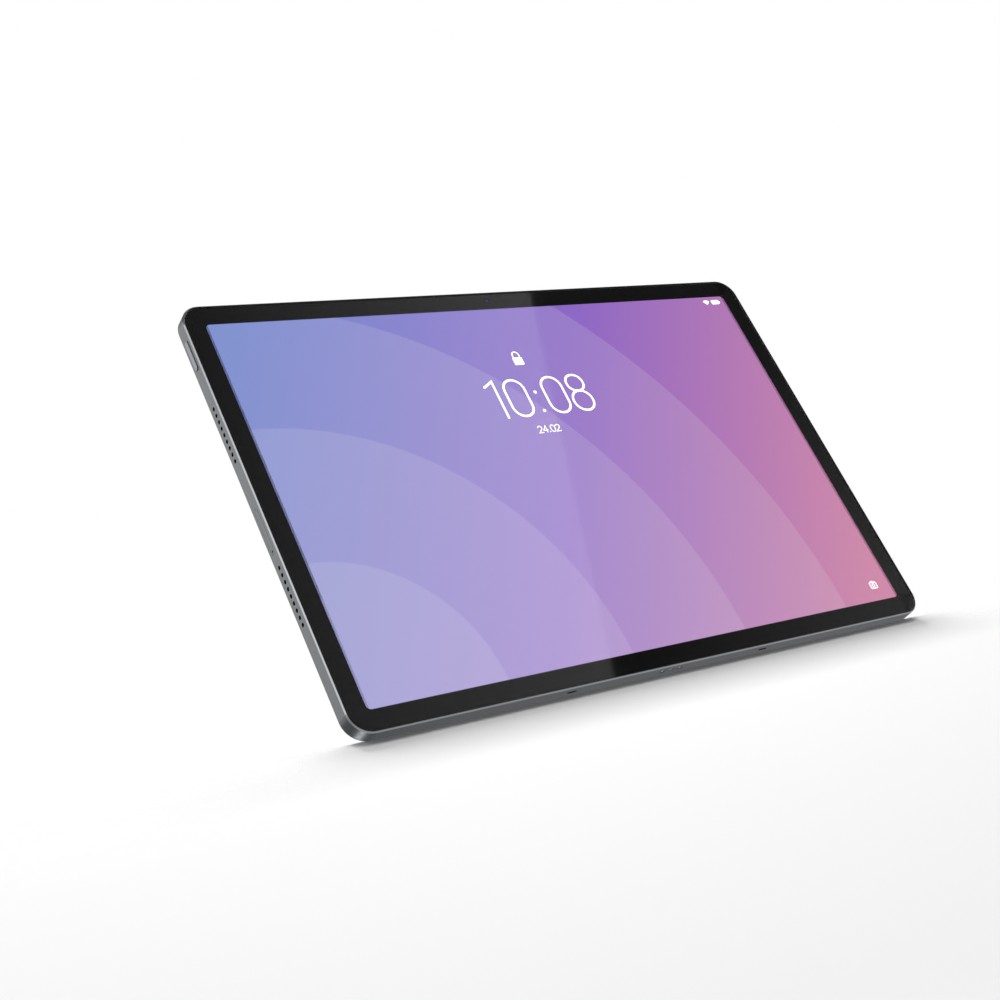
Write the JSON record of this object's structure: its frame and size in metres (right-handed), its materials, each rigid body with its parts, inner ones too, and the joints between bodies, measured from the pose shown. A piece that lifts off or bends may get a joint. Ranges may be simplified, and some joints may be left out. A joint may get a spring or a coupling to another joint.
{
  "type": "tablet computer",
  "caption": "Slim tablet computer standing on its long edge: glass screen in a metal body, raised rear camera plate, side keys, card tray and port.",
  "frame": {"origin": "middle of the bottom long edge, on the dock contacts, at half of the body's thickness", "axes": "+X to the right of someone facing the screen, -Y out of the screen, +Z to the top of the picture"},
  "size_m": [0.2921, 0.0094, 0.1894],
  "materials": {
    "body_aluminium": "blasted and anodised grey",
    "plate_aluminium": "satin, polished chamfer",
    "key_aluminium": "satin anodised",
    "ring_steel": "polished and spun",
    "cover_glass": "polished",
    "border_ink": "screen-printed black",
    "foam_tape": "matt",
    "optical_adhesive": "clear",
    "display_picture": "lit picture area",
    "white_film": "diffusing",
    "light_guide": "clear moulded",
    "led_strip": "matt",
    "circuit_board": "solder mask",
    "flex_film": "polyimide film",
    "chip_resin": "moulded epoxy",
    "sheet_steel": "stamped",
    "sheet_aluminium": "stamped",
    "battery_pouch": "laminated foil wrap",
    "graphite": "pressed sheet",
    "thermal_pad": "soft filled silicone",
    "speaker_plastic": "moulded",
    "acoustic_mesh": "fine woven",
    "contact_metal": "nickel plated",
    "moulded_black": "moulded",
    "card_plastic": "moulded",
    "lens_glass": "coated",
    "diffuser": "frosted",
    "led_phosphor": "phosphor",
    "magnet": "nickel plated",
    "screw_steel": "zinc plated"
  },
  "bodies": {
    "root": {"rear_housing": "body_aluminium", "cover_glass": "cover_glass", "glass_border_print": "border_ink", "rim_adhesive": "foam_tape", "optical_adhesive": "optical_adhesive", "display_panel": "display_picture", "backlight_films": "white_film", "light_guide_plate": "light_guide", "backlight_led_bar": "led_strip", "display_driver_board": "circuit_board", "display_flex": "flex_film", "mid_frame": "sheet_aluminium", "battery_cell_left": "battery_pouch", "battery_cell_right": "battery_pouch", "battery_protection_board": "circuit_board", "main_board": "circuit_board", "processor": "chip_resin", "memory_chips": "chip_resin", "power_controller": "chip_resin", "shield_can": "sheet_steel", "thermal_pad": "thermal_pad", "wireless_module": "sheet_steel", "graphite_sheet": "graphite", "speaker_left_lower": "speaker_plastic", "speaker_left_upper": "speaker_plastic", "speaker_right_lower": "speaker_plastic", "speaker_right_upper": "speaker_plastic", "speaker_meshes": "acoustic_mesh", "usb_shell": "sheet_steel", "usb_tongue": "moulded_black", "usb_board": "circuit_board", "side_flex": "flex_film", "card_reader": "sheet_steel", "power_switch": "sheet_steel", "rocker_pin": "screw_steel", "volume_switches": "sheet_steel", "key_bracket": "sheet_steel", "front_camera_module": "moulded_black", "front_camera_lens": "lens_glass", "light_sensor": "moulded_black", "camera_plate": "plate_aluminium", "flash_ring": "ring_steel", "flash_window": "diffuser", "flash_led": "led_phosphor", "lens_ring": "ring_steel", "lens_cover_glass": "lens_glass", "rear_camera_module": "moulded_black", "microphones": "contact_metal", "antennas": "flex_film", "dock_contacts": "contact_metal", "dock_contact_block": "moulded_black", "magnets": "magnet", "screws": "screw_steel"},
    "power_button": {"power_button": "key_aluminium"},
    "volume_rocker": {"volume_rocker": "key_aluminium"},
    "card_tray": {"card_tray": "body_aluminium", "memory_card": "card_plastic"},
    "eject_rod": {"eject_rod": "sheet_steel"},
    "eject_lever": {"eject_lever": "sheet_steel"},
    "focus_barrel": {"focus_barrel": "moulded_black"}
  },
  "joints": [
    {"name": "power_button_press", "type": "slide", "parent": "root", "child": "power_button", "axis": [1, 0, 0], "range_m": [0, 0.0003], "stiffness_N_per_m": 4000},
    {"name": "volume_rocker_tilt", "type": "hinge", "parent": "root", "child": "volume_rocker", "pos_m": [-0.115, 0, 0.1856], "axis": [0, 1, 0], "range_deg": [-0.8, 0.8], "stiffness_Nm_per_rad": 0.5},
    {"name": "card_tray_slide", "type": "slide", "parent": "root", "child": "card_tray", "axis": [-1, 0, 0], "range_m": [0, 0.0245]},
    {"name": "eject_rod_push", "type": "slide", "parent": "root", "child": "eject_rod", "axis": [1, 0, 0], "range_m": [0, 0.0012]},
    {"name": "eject_lever_turn", "type": "hinge", "parent": "root", "child": "eject_lever", "pos_m": [-0.1198, 0, 0.08565], "axis": [0, -1, 0], "range_deg": [0, 9]},
    {"name": "focus_slide", "type": "slide", "parent": "root", "child": "focus_barrel", "axis": [0, 1, 0], "range_m": [0, 0.0003], "stiffness_N_per_m": 60}
  ],
  "couplings": [
    {"joint": "eject_lever_turn", "follows": "eject_rod_push", "rad_per_m": 126.18}
  ]
}
